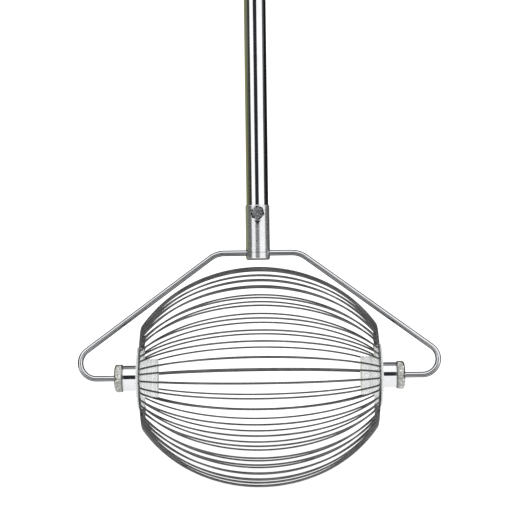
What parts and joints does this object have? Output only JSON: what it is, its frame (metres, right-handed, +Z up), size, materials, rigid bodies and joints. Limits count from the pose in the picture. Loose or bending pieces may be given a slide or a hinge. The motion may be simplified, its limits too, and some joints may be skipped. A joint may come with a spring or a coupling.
{
  "type": "golf ball retriever",
  "caption": "Rolling ball gatherer: a barrel cage of springy steel wires turns on a bent wire yoke under a long steel pole with a foam grip and a hanging tab.",
  "frame": {"origin": "on the ground under the middle of the axle, at the cage's lowest point", "axes": "+Z up along the pole, +X along the axle, -Y the side of the cross bolt's head"},
  "size_m": [0.3414, 0.2064, 1.1598],
  "materials": {
    "polished_steel": "polished stainless tube, faint drawing lines",
    "ferrule_steel": "satin stainless",
    "yoke_steel": "bright drawn rod",
    "cage_wire": "dark drawn spring wire",
    "nut_steel": "bright plated, satin faces",
    "fastener_steel": "zinc plated, slightly worn",
    "joint_steel": "machined",
    "hub_plastic": "milky translucent moulding",
    "bush_nylon": "natural nylon",
    "grip_foam": "closed cell foam, matt",
    "cap_plastic": "moulded, satin"
  },
  "bodies": {
    "handle": {"axle_clip_left": "fastener_steel", "axle_clip_right": "fastener_steel", "cross_bolt": "fastener_steel", "cross_nut": "fastener_steel", "cross_washer": "fastener_steel", "end_cap": "cap_plastic", "ferrule": "ferrule_steel", "ferrule_foot": "ferrule_steel", "grip_sleeve": "grip_foam", "pole_lower": "polished_steel", "pole_middle": "polished_steel", "pole_nut_middle": "joint_steel", "pole_nut_upper": "joint_steel", "pole_stud_lower": "joint_steel", "pole_stud_middle": "joint_steel", "pole_upper": "polished_steel", "thrust_washer_left": "fastener_steel", "thrust_washer_right": "fastener_steel", "yoke_rod": "yoke_steel"},
    "cage": {"axle_bush_left": "bush_nylon", "axle_bush_right": "bush_nylon", "cage_wires_back": "cage_wire", "cage_wires_bottom": "cage_wire", "cage_wires_front": "cage_wire", "cage_wires_top": "cage_wire", "cavity_cap_left": "hub_plastic", "cavity_cap_right": "hub_plastic", "clamp_plate_left": "hub_plastic", "clamp_plate_right": "hub_plastic", "hub_bolt_left": "fastener_steel", "hub_bolt_right": "fastener_steel", "hub_collar_left": "polished_steel", "hub_collar_right": "polished_steel", "hub_nut_left": "nut_steel", "hub_nut_right": "nut_steel", "hub_plug_left": "hub_plastic", "hub_plug_right": "hub_plastic"}
  },
  "joints": [
    {"name": "cage_roll", "type": "hinge", "parent": "handle", "child": "cage", "pos_m": [0, 0, 0.1032], "axis": [1, 0, 0], "continuous": true}
  ]
}
